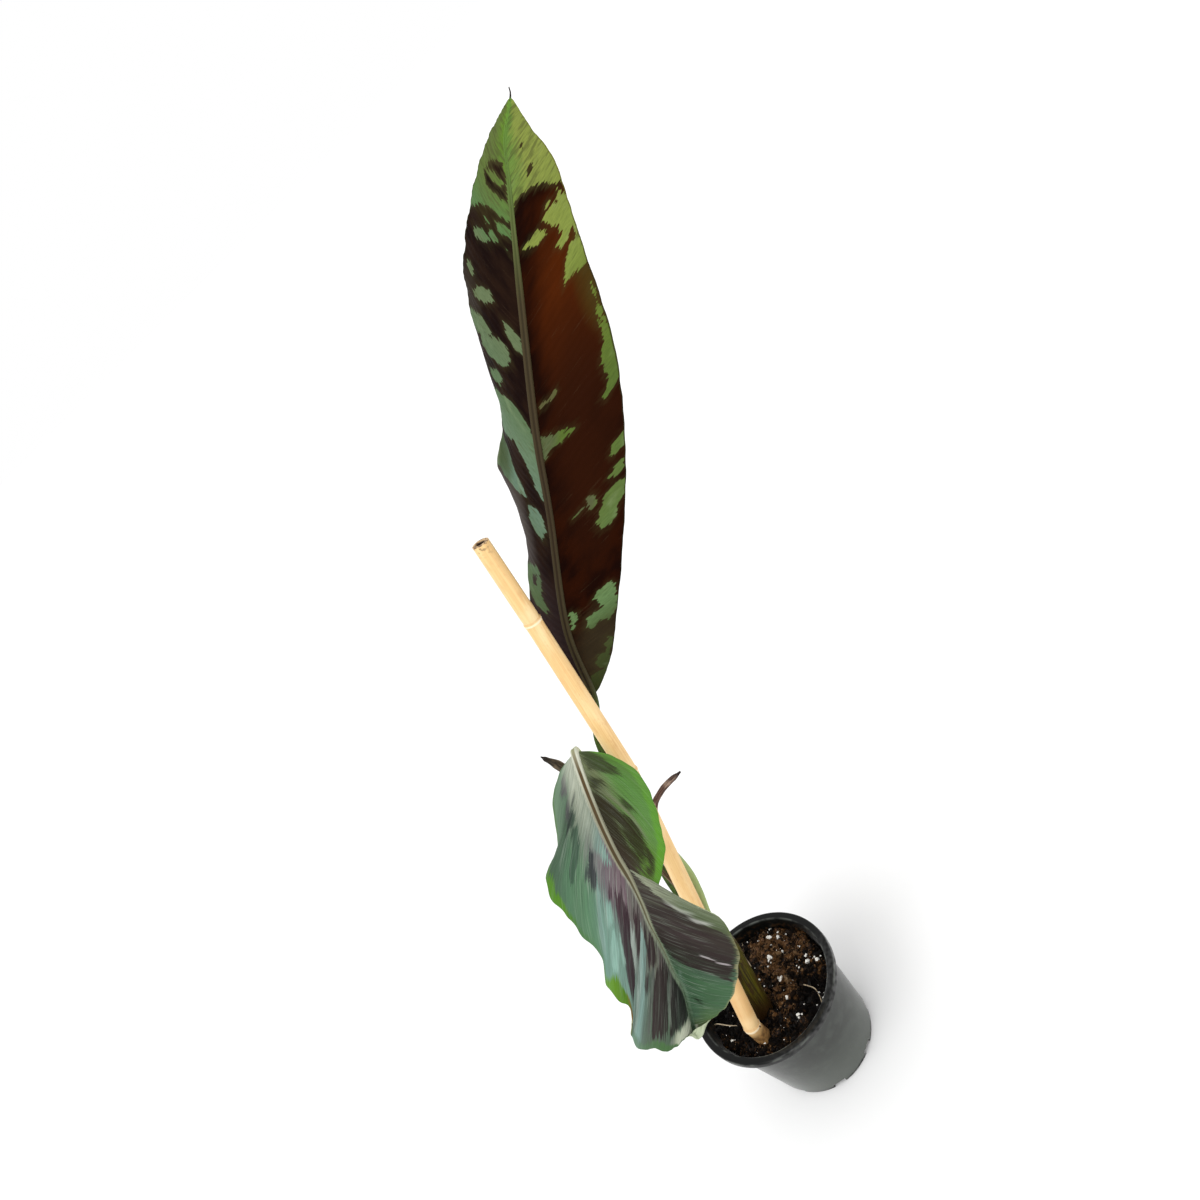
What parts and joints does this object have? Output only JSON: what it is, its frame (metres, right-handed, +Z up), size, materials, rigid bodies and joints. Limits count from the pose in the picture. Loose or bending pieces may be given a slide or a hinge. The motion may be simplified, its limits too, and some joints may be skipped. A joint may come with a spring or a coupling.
{
  "type": "potted blood banana",
  "caption": "Young banana plant with red-splashed green leaves in a thin plastic nursery pot of soil, propped by a bamboo cane.",
  "frame": {"origin": "centre of the pot's base, on the surface it stands on", "axes": "+Z up along the pot's axis; the tall leaf leans toward +X and the arching leaf hangs toward -Y"},
  "size_m": [0.3084, 0.2017, 0.5612],
  "materials": {
    "pot_plastic": "satin black, thin moulded",
    "soil": "loose moist coco and bark mix with white perlite",
    "bamboo": "smooth straw-coloured bamboo with knots",
    "stem": "satin olive leaf sheath with dark streaks",
    "leaf_dark": "satin leaf, dark maroon with green and teal patches",
    "leaf_green": "satin leaf, teal green with maroon streaks along the veins",
    "dried_stalk": "dry and matt",
    "dried_leaf": "dry, crumpled and matt"
  },
  "bodies": {
    "root": {"pot": "pot_plastic", "soil": "soil", "cane": "bamboo", "pseudostem": "stem", "leaf_tall": "leaf_dark", "leaf_arching": "leaf_green", "withered_petiole": "dried_stalk", "withered_leaf": "dried_leaf"}
  },
  "joints": []
}
